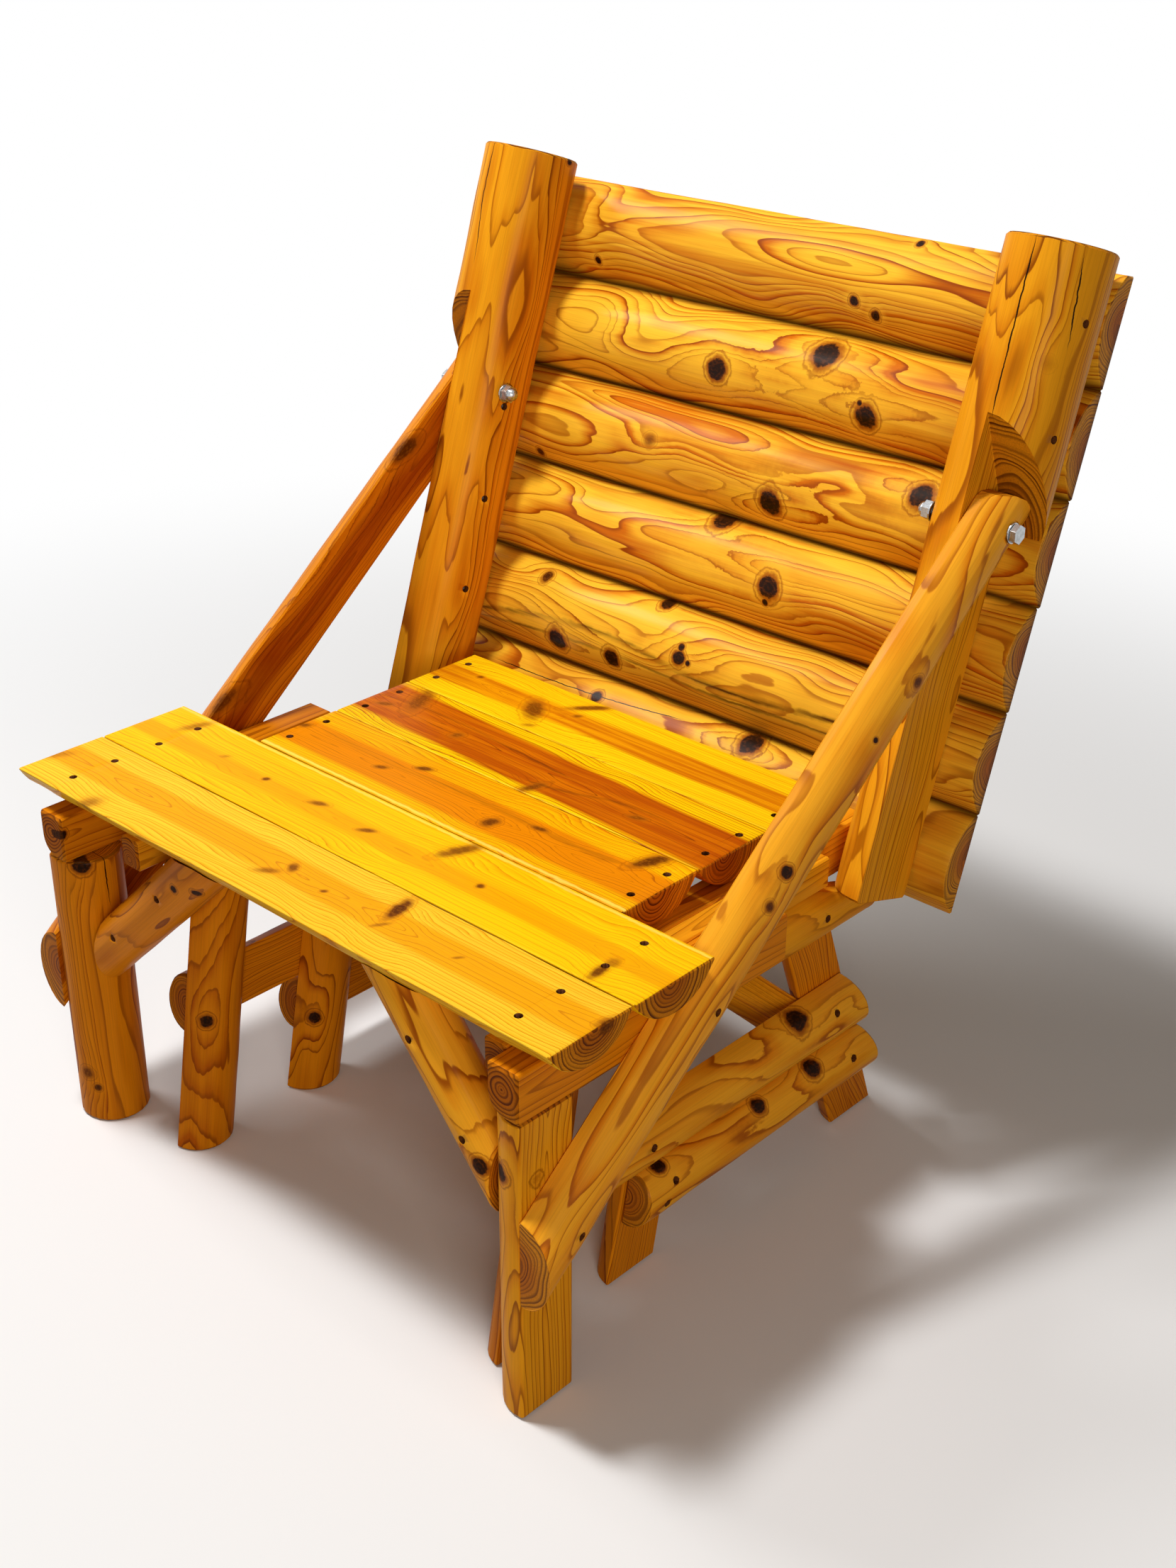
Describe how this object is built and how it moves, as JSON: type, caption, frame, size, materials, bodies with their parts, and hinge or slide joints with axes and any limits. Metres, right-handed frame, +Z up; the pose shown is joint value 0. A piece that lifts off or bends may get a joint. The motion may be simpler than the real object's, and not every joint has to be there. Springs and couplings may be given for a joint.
{
  "type": "folding log seat",
  "caption": "Armless seat built of half logs, whose slatted backrest turns forward on bolts in lapped posts and lies level as a table top.",
  "frame": {"origin": "on the floor under the middle of the object's outline", "axes": "+Z up, +X to the right as seen by someone who stands in front of the seat, +Y to the rear of the seat"},
  "size_m": [0.8, 0.7942, 0.9611],
  "materials": {
    "cedar_pale": "satin varnish",
    "cedar_amber": "satin varnish",
    "cedar_orange": "satin varnish",
    "cedar_heartwood": "satin varnish",
    "bright_steel": "bright zinc plated"
  },
  "bodies": {
    "seat_frame": {"seat_plank_1": "cedar_pale", "seat_plank_2": "cedar_pale", "seat_plank_3": "cedar_orange", "seat_plank_4": "cedar_heartwood", "seat_plank_5": "cedar_amber", "outer_rail_right": "cedar_amber", "front_leg_right": "cedar_amber", "knee_brace_right": "cedar_amber", "trestle_leg_front_right": "cedar_amber", "trestle_leg_middle_right": "cedar_amber", "trestle_leg_rear_right": "cedar_amber", "seat_bearer_right": "cedar_orange", "seat_cleat_right": "cedar_orange", "side_rail_right": "cedar_orange", "upper_stretcher_right": "cedar_amber", "lower_stretcher_right": "cedar_amber", "arm_brace_right": "cedar_amber", "pivot_bolt_right": "bright_steel", "cap_nut_right": "bright_steel", "pivot_washer_outer_right": "bright_steel", "pivot_washer_inner_right": "bright_steel", "outer_rail_left": "cedar_amber", "front_leg_left": "cedar_amber", "knee_brace_left": "cedar_amber", "trestle_leg_front_left": "cedar_amber", "trestle_leg_middle_left": "cedar_amber", "trestle_leg_rear_left": "cedar_amber", "seat_bearer_left": "cedar_orange", "seat_cleat_left": "cedar_orange", "side_rail_left": "cedar_orange", "upper_stretcher_left": "cedar_amber", "lower_stretcher_left": "cedar_amber", "arm_brace_left": "cedar_amber", "pivot_bolt_left": "bright_steel", "cap_nut_left": "bright_steel", "pivot_washer_outer_left": "bright_steel", "pivot_washer_inner_left": "bright_steel", "rear_cross_tie": "cedar_orange"},
    "backrest": {"back_post_right": "cedar_amber", "back_post_left": "cedar_amber", "back_slat_1": "cedar_amber", "back_slat_2": "cedar_pale", "back_slat_3": "cedar_amber", "back_slat_4": "cedar_amber", "back_slat_5": "cedar_pale", "back_slat_6": "cedar_amber"}
  },
  "joints": [
    {"name": "backrest_fold", "type": "hinge", "parent": "seat_frame", "child": "backrest", "pos_m": [0, 0.23638, 0.695], "axis": [1, 0, 0], "range_deg": [0, 108.4]}
  ]
}
